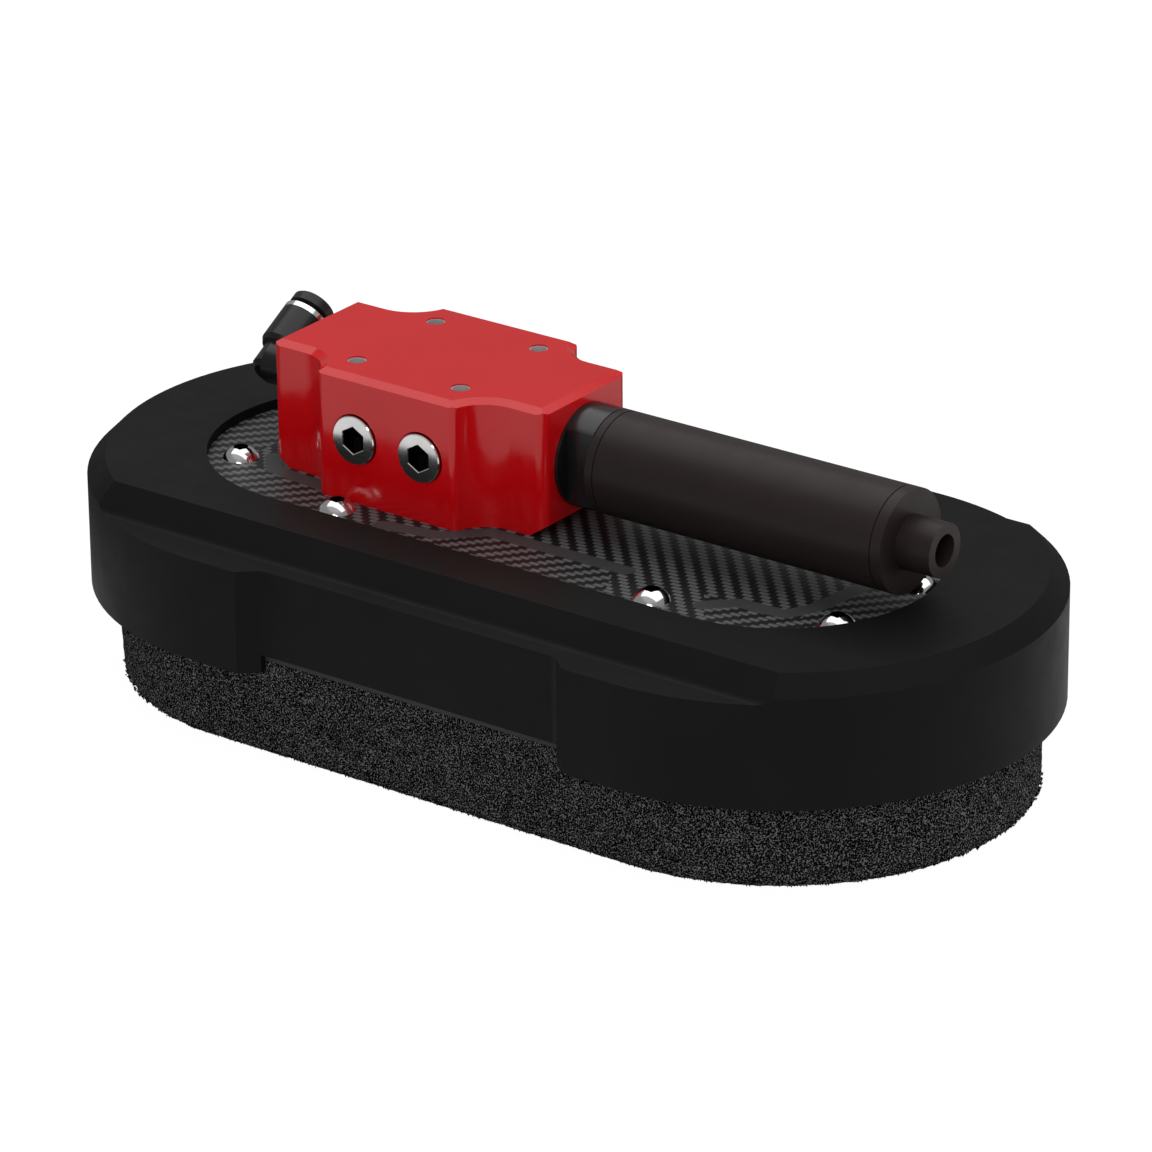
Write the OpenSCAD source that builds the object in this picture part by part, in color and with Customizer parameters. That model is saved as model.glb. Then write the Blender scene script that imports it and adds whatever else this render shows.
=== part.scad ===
// Vacuum foam gripper for a robot flange.
// A moulded skirt and a carbon plate close a vacuum chamber over a foam pad.
// A machined block on the plate holds the ejector, two port plugs, a swivelling
// push-in elbow on the left and the exhaust silencer on the right.
// Millimetres, +Z up, +X towards the silencer, origin under the skirt's middle.

/* [Which part] */

/* [Plan] */
// Half the straight length shared by skirt, plate and foam
straight_half = 70; // [60:1:90]
// Skirt end radius
skirt_r = 77; // [75:0.5:84]
// Width of the skirt's lip round the foam
lip_width = 6; // [5.2:0.1:8]
// Gap between the foam edge and the skirt lip
foam_gap = 0.3; // [0.1:0.05:0.6]
// Skirt thickness outside the chamber frame and the valve plate
frame_cover = 11; // [10:0.5:14]
// Distance from the skirt's wall to the carbon plate's edge
plate_inset = 25; // [23:0.5:28]
// Distance from the skirt's wall to the opening in its top
opening_inset = 33.2; // [31:0.1:34.5]

/* [Heights] */
// Height of the foam pad's top above the floor
foam_height = 28; // [27:0.5:29]
// Thickness of the foam backing sheet
backing_thick = 1.2; // [0.8:0.1:1.6]
// Thickness of the valve plate
valve_plate_thick = 4; // [3:0.5:5]
// Height of the skirt's lower edge above the floor
skirt_bottom = 25.1; // [22:0.1:26]
// Height of the skirt's top face above the floor
skirt_top = 61.8; // [61.4:0.1:63]
// How far the plate lies below the skirt's top face
plate_recess = 2.9; // [2.5:0.1:3.3]
// Thickness of the carbon plate
plate_thick = 2.5; // [2:0.1:3]
// Thickness of the flat gasket under the carbon plate
gasket_thick = 1; // [0.5:0.1:1.5]

/* [Skirt] */
// Width and drop of the bevel round the skirt's top edge
rim_bevel = 5.2; // [4:0.1:6]
// Distance from the skirt's wall to the straight top edge of a scoop
scoop_inset = 17.8; // [16:0.1:19]
// Depth of the scoop's ledge below the top face
scoop_depth = 6.9; // [6.6:0.1:7.4]
// Radius between the scoop's bevel and its ledge
scoop_fillet = 2.5; // [1.5:0.1:3]
// Half length of the recessed panel at the wall
panel_half = 54.5; // [40:0.5:64]
// Length of the ramp at each end of the panel
panel_ramp = 5.7; // [4.5:0.1:8]
// Depth of the recessed panel
panel_depth = 4.9; // [3:0.1:5.2]
// Radius where a ramp meets the panel
panel_fillet = 4; // [2:0.5:6]
// Height of the notch in the lip over the panel, from the skirt's lower edge
panel_rise = 5; // [4.4:0.1:6]
// Half length of the notch in the lip under the panel
notch_half = 49.5; // [38:0.5:50]

/* [Chamber] */
// Wall thickness of the chamber frame
frame_wall = 6; // [5:0.5:7]
// Thickness of the frame's shoulder roof
shoulder_thick = 4; // [3.5:0.5:5]
// Height of the frame's shoulder above the floor
shoulder_height = 50.4; // [49:0.1:51]
// Thickness of the frame's raised middle roof
roof_thick = 5; // [4:0.5:5.5]
// Wall thickness of the frame's raised middle
raised_wall = 4; // [3:0.5:6]
// Radius of the bosses under the plate screws
boss_r = 6; // [5:0.5:7]
// Distance between suction cells
cell_pitch = 28; // [26:0.5:30]
// Radius of the holes through the foam
cell_r = 6; // [4:0.5:7]
// Radius of the holes through the foam backing
backing_hole_r = 4; // [2:0.5:5]
// Radius of the flow resistors drilled in the valve plate
orifice_r = 0.8; // [0.5:0.1:1.5]
// Radius of the vacuum port through roof, gasket and plate
port_r = 6; // [4:0.5:7]

/* [Screws] */
// Radius of the plate screws' button heads
button_r = 5.25; // [5:0.05:5.5]
// Height of the button heads
button_height = 3.3; // [3:0.05:3.4]
// Radius of an M6 thread
m6_r = 3; // [2.8:0.1:3.2]
// Radius of an M5 thread
m5_r = 2.5; // [2.5:0.1:3]
// Length of the plate screws under the head
plate_screw_length = 12; // [10:1:13]
// Distance from the middle to the inner plate screws
inner_screw_x = 52.7; // [46:0.1:60]
// Distance from the opening's edge to the line of the plate screws
screw_inset = 9.5; // [8:0.1:9.8]
// Angle of the two screws round the left end of the plate
end_screw_angle = 36; // [30:1:50]
// Angle of the front screw round the right end of the plate
front_screw_angle = 32; // [26:1:50]
// Angle of the back screw round the right end of the plate
back_screw_angle = 20; // [16:1:50]
// Distance from the opening's edge to the line of the right end's screws
right_screw_inset = 6; // [5.8:0.1:9.8]

/* [Block] */
// Middle of the block along the gripper
block_x = -40.2; // [-45:0.1:-35]
// Block length
block_length = 93; // [90:0.5:96]
// Distance from the opening's straight edge to the block's side
block_inset = 15.4; // [13.5:0.1:16.5]
// Block height
block_height = 37.1; // [36:0.1:40]
// Width of the chamfer round the block's top
chamfer_width = 2.1; // [1:0.1:2.5]
// Drop of the chamfer round the block's top
chamfer_drop = 1.45; // [1:0.05:2]
// Radius of the scallop at each corner
scallop_r = 12; // [10:0.5:13]
// Distance from the block's middle to a scallop's axis, lengthwise
scallop_x = 35; // [34:0.5:37]
// Half width of the lobe at each end of the block
lobe_half = 19; // [17.5:0.5:20]
// Radius of the upright edges of the left lobe
lobe_round_left = 3; // [2:0.5:4]
// Radius of the upright edges of the right lobe
lobe_round_right = 3; // [1:0.5:4]
// Radius of the upright edges between the block's sides and its scallops
shoulder_round = 2.5; // [1:0.5:3]
// Length of the slope under each end of the block
foot_cut = 5.3; // [1:0.1:6]
// Height of the slope under each end of the block
foot_rise = 3.5; // [1:0.1:5]
// Distance between the robot flange holes
flange_spacing = 35.36; // [34:0.01:37]
// Inner radius of the thread inserts
insert_bore_r = 2.3; // [2.1:0.05:2.5]
// Outer radius of the thread inserts
insert_r = 2.65; // [2.6:0.05:3.2]
// Length of the thread inserts
insert_length = 11; // [8:0.5:12]
// Depth of the inserts below the block's top
insert_sink = 0.4; // [0.2:0.1:1]

/* [Air] */
// Height of the ejector and silencer axis above the block's foot
bore_height = 18.8; // [17:0.1:20]
// Radius of the ejector bore
ejector_r = 8.2; // [7.5:0.1:8.6]
// Length of the ejector cartridge
ejector_length = 56; // [50:1:57]
// Distance of the plugs' middle from the block's middle
plug_shift = 0.6; // [-2:0.1:2]
// Distance from the block's middle to each port plug
plug_offset = 11.15; // [10:0.05:12.5]
// Radius of a plug's collar
plug_collar_r = 7; // [6.8:0.1:7.6]
// Radius of the plug's thread
plug_thread_r = 4.86; // [4.5:0.02:5]
// Hexagon socket of a plug, across the flats
plug_socket = 6.9; // [5:0.1:7.4]

/* [Silencer] */
// Radius of the silencer tube
silencer_r = 14.5; // [12:0.1:15]
// Half distance across the adapter's wrench flats
flat_half = 9.85; // [9.5:0.05:12]
// Length of the adapter outside the block
adapter_length = 9.6; // [8:0.1:12]
// Length of the ring between adapter and tube
ring_length = 3; // [2:0.1:5]
// Length of the tube
tube_length = 88.8; // [60:0.1:110]
// Length of the end cap
cap_length = 3.5; // [2.5:0.1:6]
// Radius of the outlet stub
stub_r = 7.5; // [6:0.1:8]
// Length of the outlet stub
stub_length = 10.7; // [6:0.1:20]
// Radius of the outlet bore
outlet_r = 4.5; // [3:0.1:5.5]

/* [Fitting] */
// Height of the elbow's swivel axis above the block's foot
fitting_height = 20.7; // [19.5:0.1:22]
// Lean of the tube socket above the level
socket_angle = 30; // [0:1:60]
// Outer radius of the elbow's swivel barrel
barrel_r = 6; // [5.8:0.1:6.8]
// Outer radius of the neck between barrel and tube socket
neck_r = 5; // [4.6:0.1:5.4]
// Outer radius of the tube socket
sleeve_r = 7; // [6.8:0.1:7.2]
// Distance from the swivel axis to the socket's mouth
sleeve_end = 17.2; // [16:0.1:19]
// Bore of the tube socket, for an 8 mm tube
tube_bore_r = 4.05; // [4.05:0.01:4.1]
// Radius of the stem's pivot
pivot_r = 3.95; // [3.6:0.05:4]
// Running gap of the swivel and of the collar
running_gap = 0.05; // [0.02:0.01:0.1]
// Gap between parts that move past each other
free_gap = 0.4; // [0.3:0.05:0.6]

/* [Hidden] */
$fn = 64;
eps = 0.01;
over = 1;
backing_top = foam_height + backing_thick;
frame_bottom = backing_top + valve_plate_thick;
plate_top = skirt_top - plate_recess;
plate_bottom = plate_top - plate_thick;
frame_top = plate_bottom - gasket_thick;
shoulder_ceiling = shoulder_height - shoulder_thick;
lip_r = skirt_r - lip_width;
foam_r = lip_r - foam_gap;
frame_r = skirt_r - frame_cover;
chamber_r = frame_r - frame_wall;
plate_r = skirt_r - plate_inset;
raised_inner_r = plate_r - raised_wall;
opening_r = skirt_r - opening_inset;
scoop_edge = skirt_r - scoop_inset;
// where screws stand
screw_line_r = opening_r - screw_inset;
right_screw_r = opening_r - right_screw_inset;
skirt_line_r = (plate_r + chamber_r) / 2;
valve_line_r = (frame_r + chamber_r) / 2;
m4_r = 2;
m3_r = 1.5;
skirt_screw_end = 25;
skirt_screw_grip = 6.4;
skirt_head_r = 3.8;
skirt_head = 2.2;
valve_screw_end = 8;
valve_screw_length = 12;
block_screw_x = 36;
block_screw_y = 13.5;
block_screw_grip = 10;
block_head_r = 4.25;
block_head = 2.8;
rim_angle = 40;
screw_tip_gap = 1.5;
button_floor = 0.9;
button_socket_r = 2.3;
// block
block_foot = plate_top;
block_top = block_foot + block_height;
block_left = block_x - block_length / 2;
block_right = block_x + block_length / 2;
block_front = opening_r - block_inset;
block_width = 2 * block_front;
scallop_y = lobe_half + scallop_r;
round_lap = 0.05;
air_z = block_foot + bore_height;
fitting_z = block_foot + fitting_height;
hole_half = flange_spacing / 2;
spigot_length = 10;
spigot_bore_r = 5.5;
ejector_right = block_right - spigot_length;
ejector_left = ejector_right - ejector_length;
inlet_r = 2.6;
ejector_waist = 2.2;
ejector_land = 7;
ejector_throat_r = 1.4;
ejector_mouth_r = 4;
window_r = 2;
window_shift = 3;
cartridge_cord_r = 0.8;
stem_thread_length = 7.5;
screen_r = 8;
screen_thick = 2;
seal_ring_r = 10.5;
seal_cord_r = 1.2;
// plugs
plug_collar_thick = 1.5;
plug_socket_depth = 5;
plug_socket_bevel = 0.2;
plug_edge = 0.25;
plug_well_bevel = 0.3;
plug_mid = block_x + plug_shift;
plug_seal_thick = 0.8;
plug_well = 1.4;
plug_play = 0.15;
plug_well_r = plug_collar_r + plug_play;
plug_thread_length = 8;
plug_face = block_front - plug_well;
// silencer stations, from the block's right face
adapter_end = block_right + adapter_length;
adapter_rim = 1;
ring_end = adapter_end + ring_length;
tube_end = ring_end + tube_length;
cap_end = tube_end + cap_length;
stub_end = cap_end + stub_length;
tube_wall = 1.6;
groove = 0.35;
tenon = 4;
core_wall = 5;
tenon_r = flat_half - 0.5;
// fitting stations, from the block's left face
stem_flange = 2;
stem_flange_r = 6.2;
socket_reach = 14.8;
barrel_reach = 0.5;
barrel_bevel = 0.4;
neck_tail = 4.6;
neck_bevel = 1.4;
sleeve_foot = 3.2;
sleeve_flare = 0.5;
sleeve_bevel = 1.3;
sleeve_drop = 0.8;
pivot_inset = 3;
socket_x = block_left - socket_reach;
barrel_end = socket_x - barrel_reach;
pivot_end = socket_x + pivot_inset;
stem_bore_r = 2.2;
tube_stop = 5;
seal_well_r = 5.4;
seal_floor = 11.5;
seal_thick = 2.2;
collar_r = 4.9;
collar_rim_r = 6.6;
collar_rim = 3.1;
collar_bevel = 0.6;
collar_gap = 1.6;
tube_pass_r = tube_bore_r + 0.2;
ring_thick = 1.5;
ring_bore_r = collar_r + running_gap;

// ---------- shared shapes ----------

// a plate with round ends, standing on z = 0
module stadium(r, h, half = straight_half) {
  translate([-half, -r, 0])
    cube([2 * half, 2 * r, h]);
  for (side = [-1, 1])
    translate([side * half, 0, 0])
      cylinder(r = r, h = h);
}

// a plate with round ends whose edge leans inwards from r1 to r2
module bevelled_stadium(r1, r2, h, half = straight_half) {
  translate([-half, 0, 0])
    rotate([90, 0, 90])
      linear_extrude(height = 2 * half)
        polygon([[-r1, 0], [r1, 0], [r2, h], [-r2, h]]);
  for (side = [-1, 1])
    translate([side * half, 0, 0])
      cylinder(r1 = r1, r2 = r2, h = h);
}

// children on each of the eight plate screw places
module at_plate_screws() {
  for (sx = [-1, 1], sy = [-1, 1])
    translate([sx * inner_screw_x, sy * screw_line_r, 0])
      children();
  for (a = [180 - end_screw_angle, 180 + end_screw_angle])
    translate([-straight_half + screw_line_r * cos(a), screw_line_r * sin(a), 0])
      children();
  for (a = [-front_screw_angle, back_screw_angle])
    translate([straight_half + right_screw_r * cos(a), right_screw_r * sin(a), 0])
      children();
}

// children on each of the eight places on the stadium line of radius r
module at_rim_places(r, x) {
  for (sx = [-1, 1], sy = [-1, 1])
    translate([sx * x, sy * r, 0])
      children();
  for (sx = [-1, 1], a = [-rim_angle, rim_angle])
    translate([sx * (straight_half + r * cos(a)), r * sin(a), 0])
      children();
}

module at_skirt_screws() {
  at_rim_places(skirt_line_r, straight_half - skirt_screw_end)
    children();
}

module at_valve_screws() {
  at_rim_places(valve_line_r, straight_half - valve_screw_end)
    children();
}

module at_block_screws() {
  for (sx = [-1, 1], sy = [-1, 1])
    translate([block_x + sx * block_screw_x, sy * block_screw_y, 0])
      children();
}

// one hole in each suction cell: five staggered rows
module cells(r, z, h) {
  row = cell_pitch * sqrt(3) / 2;
  for (k = [-4 : 4])
    translate([k * cell_pitch, 0, z])
      cylinder(r = r, h = h);
  for (s = [-1, 1], k = [-4 : 3])
    translate([(k + 0.5) * cell_pitch, s * row, z])
      cylinder(r = r, h = h);
  for (s = [-1, 1], k = [-3 : 3])
    translate([k * cell_pitch, s * 2 * row, z])
      cylinder(r = r, h = h);
}

// children with Z turned along the gripper's +X, starting at x, height z
module along_x(x, z) {
  translate([x, 0, z])
    rotate([0, 90, 0])
      children();
}

// children with Z turned along the tube socket's axis
module along_socket() {
  translate([socket_x, 0, fitting_z])
    rotate([socket_angle - 90, 0, 0])
      children();
}

// ---------- vacuum chamber ----------

// the space that one scoop takes from the skirt, at +Y
module scoop_cut() {
  drop = scoop_fillet * tan(22.5);
  ledge_z = skirt_top - scoop_depth;
  corner_y = scoop_edge + scoop_depth;
  lean = drop * cos(45);
  translate([-straight_half - skirt_r, 0, 0]) {
    rotate([90, 0, 90])
      linear_extrude(height = 2 * (straight_half + skirt_r))
        polygon([
          [scoop_edge - over, skirt_top + over],
          [corner_y - lean, ledge_z + lean],
          [corner_y + drop, ledge_z + scoop_fillet],
          [corner_y + drop, ledge_z],
          [skirt_r + over, ledge_z],
          [skirt_r + over, skirt_top + over]
        ]);
    translate([0, corner_y + drop, ledge_z + scoop_fillet])
      rotate([0, 90, 0])
        cylinder(r = scoop_fillet, h = 2 * (straight_half + skirt_r));
  }
}

// the space that one recessed panel and its notch take, at +Y
module panel_cut() {
  ramp_angle = atan(panel_depth / panel_ramp);
  drop = panel_fillet * tan(ramp_angle / 2);
  inner = panel_half - panel_ramp;
  floor_y = skirt_r - panel_depth;
  reach = over * panel_ramp / panel_depth;
  up = skirt_top - skirt_bottom;
  translate([0, 0, skirt_bottom - over]) {
    linear_extrude(height = up)
      polygon([
        [-panel_half - reach, skirt_r + over],
        [-inner - drop * cos(ramp_angle), floor_y + drop * sin(ramp_angle)],
        [-inner + drop, floor_y + panel_fillet],
        [-inner + drop, floor_y],
        [inner - drop, floor_y],
        [inner - drop, floor_y + panel_fillet],
        [inner + drop * cos(ramp_angle), floor_y + drop * sin(ramp_angle)],
        [panel_half + reach, skirt_r + over]
      ]);
    for (side = [-1, 1])
      translate([side * (inner - drop), floor_y + panel_fillet, 0])
        cylinder(r = panel_fillet, h = up);
  }
  translate([-notch_half, foam_r - over, skirt_bottom - over])
    cube([2 * notch_half, skirt_r, panel_rise + over]);
}

module skirt() {
  bevel_z = skirt_top - rim_bevel;
  color("#232323")
    difference() {
      union() {
        translate([0, 0, skirt_bottom])
          stadium(skirt_r, bevel_z - skirt_bottom);
        translate([0, 0, bevel_z])
          bevelled_stadium(skirt_r, skirt_r - rim_bevel, rim_bevel);
      }
      translate([0, 0, skirt_bottom - over])
        stadium(lip_r, backing_top - skirt_bottom + over);
      translate([0, 0, skirt_bottom])
        stadium(frame_r, shoulder_height - skirt_bottom);
      translate([0, 0, shoulder_height - eps])
        stadium(plate_r, plate_top - shoulder_height + eps);
      translate([0, 0, plate_top - eps])
        stadium(opening_r, plate_recess + over);
      for (turn = [0, 180])
        rotate([0, 0, turn]) {
          scoop_cut();
          panel_cut();
        }
      translate([0, 0, shoulder_height - over])
        at_skirt_screws()
          cylinder(r = m4_r, h = skirt_screw_grip + over);
    }
}

module top_plate() {
  color("#1a1a1c")
    difference() {
      translate([0, 0, plate_bottom])
        stadium(plate_r, plate_thick);
      translate([0, 0, plate_bottom - over]) {
        at_plate_screws()
          cylinder(r = m6_r, h = plate_thick + 2 * over);
        at_block_screws()
          cylinder(r = m5_r, h = plate_thick + 2 * over);
        translate([block_x, 0, 0])
          cylinder(r = port_r, h = plate_thick + 2 * over);
      }
    }
}

module plate_gasket() {
  color("#555555")
    difference() {
      translate([0, 0, frame_top])
        stadium(plate_r, gasket_thick);
      translate([0, 0, frame_top - over]) {
        at_plate_screws()
          cylinder(r = m6_r, h = gasket_thick + 2 * over);
        at_block_screws()
          cylinder(r = m5_r, h = gasket_thick + 2 * over);
        translate([block_x, 0, 0])
          cylinder(r = port_r, h = gasket_thick + 2 * over);
      }
    }
}

module chamber_frame() {
  raised_ceiling = frame_top - roof_thick;
  screw_depth = plate_screw_length - plate_thick - gasket_thick;
  boss_foot = frame_top - screw_depth - screw_tip_gap;
  color("#8f949a")
    difference() {
      union() {
        difference() {
          union() {
            translate([0, 0, frame_bottom])
              stadium(frame_r, shoulder_height - frame_bottom);
            translate([0, 0, shoulder_height - eps])
              stadium(plate_r, frame_top - shoulder_height + eps);
          }
          translate([0, 0, frame_bottom - over])
            stadium(chamber_r, shoulder_ceiling - frame_bottom + over);
          translate([0, 0, shoulder_ceiling - eps])
            stadium(raised_inner_r, raised_ceiling - shoulder_ceiling + eps);
        }
        translate([0, 0, boss_foot])
          at_plate_screws()
            cylinder(r = boss_r, h = raised_ceiling - boss_foot + 1);
      }
      at_plate_screws()
        translate([0, 0, frame_top - screw_depth])
          cylinder(r = m6_r, h = screw_depth + over);
      at_block_screws()
        translate([0, 0, raised_ceiling - over])
          cylinder(r = m5_r, h = roof_thick + 2 * over);
      at_skirt_screws()
        translate([0, 0, shoulder_ceiling - over])
          cylinder(r = m4_r, h = shoulder_thick + 2 * over);
      at_valve_screws()
        translate([0, 0, frame_bottom - over])
          cylinder(r = m3_r, h = valve_screw_length - valve_plate_thick + over);
      translate([block_x, 0, raised_ceiling - over])
        cylinder(r = port_r, h = roof_thick + 2 * over);
    }
}

module valve_plate() {
  color("#3a3d40")
    difference() {
      translate([0, 0, backing_top])
        stadium(frame_r, valve_plate_thick);
      cells(orifice_r, backing_top - over, valve_plate_thick + 2 * over);
      cells(backing_hole_r, backing_top - over, valve_plate_thick / 2 + over);
      at_valve_screws()
        translate([0, 0, backing_top - over])
          cylinder(r = m3_r, h = valve_plate_thick + 2 * over);
      at_valve_screws()
        translate([0, 0, backing_top])
          cylinder(r1 = 2 * m3_r, r2 = m3_r, h = m3_r);
    }
}

module foam_backing() {
  color("#8c8c8c")
    difference() {
      translate([0, 0, foam_height])
        stadium(foam_r, backing_thick);
      cells(backing_hole_r, foam_height - over, backing_thick + 2 * over);
    }
}

module foam_pad() {
  color("#2a2a2a")
    difference() {
      stadium(foam_r, foam_height);
      cells(cell_r, -over, foam_height + 2 * over);
    }
}

// ---------- screws ----------

module plate_screws() {
  dome_r = (button_r * button_r + button_height * button_height) / (2 * button_height);
  color("#c8cacc")
    at_plate_screws()
      difference() {
        union() {
          translate([0, 0, plate_top])
            intersection() {
              cylinder(r = button_r, h = button_height);
              translate([0, 0, button_height - dome_r])
                sphere(r = dome_r);
            }
          translate([0, 0, plate_top - plate_screw_length])
            cylinder(r = m6_r, h = plate_screw_length + 1);
        }
        translate([0, 0, plate_top + button_floor])
          cylinder(r = button_socket_r, h = button_height, $fn = 6);
      }
}

module skirt_screws() {
  color("#a0a4a8")
    at_skirt_screws() {
      translate([0, 0, shoulder_ceiling - skirt_head])
        cylinder(r = skirt_head_r, h = skirt_head);
      translate([0, 0, shoulder_ceiling - eps])
        cylinder(r = m4_r, h = shoulder_thick + skirt_screw_grip + eps);
    }
}

module valve_plate_screws() {
  color("#a0a4a8")
    at_valve_screws()
      translate([0, 0, backing_top]) {
        cylinder(r1 = 2 * m3_r, r2 = m3_r, h = m3_r);
        cylinder(r = m3_r, h = valve_screw_length);
      }
}

module block_screws() {
  raised_ceiling = frame_top - roof_thick;
  color("#a0a4a8")
    at_block_screws() {
      translate([0, 0, raised_ceiling - block_head])
        cylinder(r = block_head_r, h = block_head);
      translate([0, 0, raised_ceiling - eps])
        cylinder(r = m5_r, h = block_foot - raised_ceiling + block_screw_grip + eps);
    }
}

// ---------- block and ejector ----------

module block_outline() {
  low = block_height - chamfer_drop;
  end = block_length / 2;
  side = block_front;
  intersection() {
    translate([-end, 0, 0])
      rotate([90, 0, 90])
        linear_extrude(height = block_length)
          polygon([
            [-side, 0], [side, 0], [side, low],
            [side - chamfer_width, block_height],
            [chamfer_width - side, block_height], [-side, low]
          ]);
    translate([0, side, 0])
      rotate([90, 0, 0])
        linear_extrude(height = block_width)
          polygon([
            [foot_cut - end, 0], [end - foot_cut, 0], [end, foot_rise], [end, low],
            [end - chamfer_width, block_height],
            [chamfer_width - end, block_height], [-end, low], [-end, foot_rise]
          ]);
  }
}

// one corner scallop with its chamfer, in the +X +Y quarter
module scallop_cut() {
  low = block_height - chamfer_drop;
  slope = chamfer_width / chamfer_drop;
  reach = block_length / 2;
  translate([scallop_x, scallop_y, -over])
    cylinder(r = scallop_r, h = block_height + 2 * over);
  translate([scallop_x, scallop_y, low])
    cylinder(r1 = scallop_r, r2 = scallop_r + chamfer_width + over * slope, h = chamfer_drop + over);
  translate([scallop_x, lobe_half, -over])
    cube([reach, block_width, block_height + 2 * over]);
  translate([scallop_x, 0, 0])
    rotate([90, 0, 90])
      linear_extrude(height = reach)
        polygon([
          [lobe_half, low],
          [lobe_half - chamfer_width - over * slope, block_height + over],
          [block_width, block_height + over],
          [block_width, low]
        ]);
}

// what is taken off an upright lobe edge to round it to r
module edge_round(r) {
  end = block_length / 2;
  difference() {
    translate([end - r, lobe_half - r, -over])
      cube([r + over, r + over, block_height + 2 * over]);
    translate([end - r, lobe_half - r, -2 * over])
      cylinder(r = r, h = block_height + 4 * over);
  }
}

// what is taken off the upright edge between side and scallop, in the +X +Y quarter
module shoulder_cut() {
  reach = scallop_r + shoulder_round - round_lap;
  round_y = block_front - shoulder_round;
  round_x = scallop_x - sqrt(reach * reach - (scallop_y - round_y) * (scallop_y - round_y));
  difference() {
    translate([0, 0, -over])
      linear_extrude(height = block_height + 2 * over)
        polygon([[round_x, round_y], [round_x, scallop_y], [scallop_x, scallop_y]]);
    translate([round_x, round_y, -2 * over])
      cylinder(r = shoulder_round, h = block_height + 4 * over);
  }
}

module manifold_block() {
  color("#b0252a")
    difference() {
      translate([block_x, 0, block_foot])
        difference() {
          block_outline();
          for (mx = [0, 1], my = [0, 1])
            mirror([mx, 0, 0])
              mirror([0, my, 0]) {
                scallop_cut();
                shoulder_cut();
              }
          for (my = [0, 1])
            mirror([0, my, 0]) {
              edge_round(lobe_round_right);
              mirror([1, 0, 0])
                edge_round(lobe_round_left);
            }
        }
      // robot flange holes
      for (sx = [-1, 1], sy = [-1, 1])
        translate([block_x + sx * hole_half, sy * hole_half, block_top - insert_sink - insert_length])
          cylinder(r = insert_r, h = insert_length + insert_sink + over);
      // ejector bore, air inlet and fitting port
      along_x(ejector_left, air_z)
        cylinder(r = ejector_r, h = block_right - ejector_left + over);
      along_x(block_left + stem_thread_length - eps, fitting_z)
        cylinder(r = inlet_r, h = ejector_left - block_left - stem_thread_length + 2 * eps);
      along_x(block_left - over, fitting_z)
        cylinder(r = plug_thread_r, h = stem_thread_length + over);
      // vacuum port, filter seat and seal groove
      translate([block_x, 0, block_foot - over])
        cylinder(r = port_r, h = bore_height + over);
      translate([block_x, 0, block_foot - over])
        cylinder(r = screen_r, h = screen_thick + over);
      translate([block_x, 0, block_foot - over])
        difference() {
          cylinder(r = seal_ring_r + seal_cord_r, h = 2 * seal_cord_r + over);
          translate([0, 0, -over])
            cylinder(r = seal_ring_r - seal_cord_r, h = 2 * seal_cord_r + 3 * over);
        }
      // port plugs
      for (side = [-1, 1])
        translate([plug_mid + side * plug_offset, -block_front, air_z])
          rotate([-90, 0, 0]) {
            translate([0, 0, -over])
              cylinder(r = plug_well_r, h = plug_well + over);
            translate([0, 0, -over])
              cylinder(r1 = plug_well_r + plug_well_bevel + over, r2 = plug_well_r, h = plug_well_bevel + over);
            cylinder(r = plug_thread_r, h = plug_well + plug_thread_length);
            cylinder(r = inlet_r, h = block_front - ejector_r / 2);
          }
      // screws from below
      at_block_screws()
        translate([0, 0, block_foot - over])
          cylinder(r = m5_r, h = block_screw_grip + over);
    }
}

module thread_inserts() {
  color("#b8bcc0")
    for (sx = [-1, 1], sy = [-1, 1])
      translate([block_x + sx * hole_half, sy * hole_half, block_top - insert_sink - insert_length])
        difference() {
          cylinder(r = insert_r, h = insert_length);
          translate([0, 0, -over])
            cylinder(r = insert_bore_r, h = insert_length + 2 * over);
        }
}

module suction_screen() {
  color("#b08d57")
    translate([block_x, 0, block_foot])
      cylinder(r = screen_r, h = screen_thick);
}

module block_seal() {
  color("#151515")
    translate([block_x, 0, block_foot + seal_cord_r])
      rotate_extrude()
        translate([seal_ring_r, 0])
          circle(r = seal_cord_r);
}

// lathe profile of the ejector: land, waist at the nozzle gap, land, diffuser
module ejector_cartridge() {
  waist_r = ejector_r - ejector_waist;
  land = ejector_land;
  throat_r = ejector_throat_r;
  mouth_r = ejector_mouth_r;
  middle = ejector_length / 2;
  color("#d8d4c6")
    along_x(ejector_left, air_z)
      difference() {
        union() {
          cylinder(r = waist_r, h = ejector_length);
          cylinder(r = ejector_r, h = land);
          translate([0, 0, ejector_length - land])
            cylinder(r = ejector_r, h = land);
        }
        translate([0, 0, -over])
          cylinder(r = mouth_r, h = land + over);
        translate([0, 0, land - eps])
          cylinder(r1 = mouth_r, r2 = throat_r, h = land);
        cylinder(r = throat_r, h = middle + over);
        translate([0, 0, middle])
          cylinder(r1 = throat_r + window_r / 5, r2 = mouth_r, h = middle + eps);
        // suction windows at the nozzle gap
        for (turn = [0, 90])
          translate([0, 0, middle - window_shift])
            rotate([90, 0, turn])
              cylinder(r = window_r, h = 4 * ejector_r, center = true);
        // seal grooves
        for (z = [land / 2, ejector_length - land / 2])
          translate([0, 0, z - 1.25 * cartridge_cord_r])
            difference() {
              cylinder(r = ejector_r + over, h = 2.5 * cartridge_cord_r);
              translate([0, 0, -over])
                cylinder(r = ejector_r - 2 * cartridge_cord_r, h = 2.5 * cartridge_cord_r + 2 * over);
            }
      }
}

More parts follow.
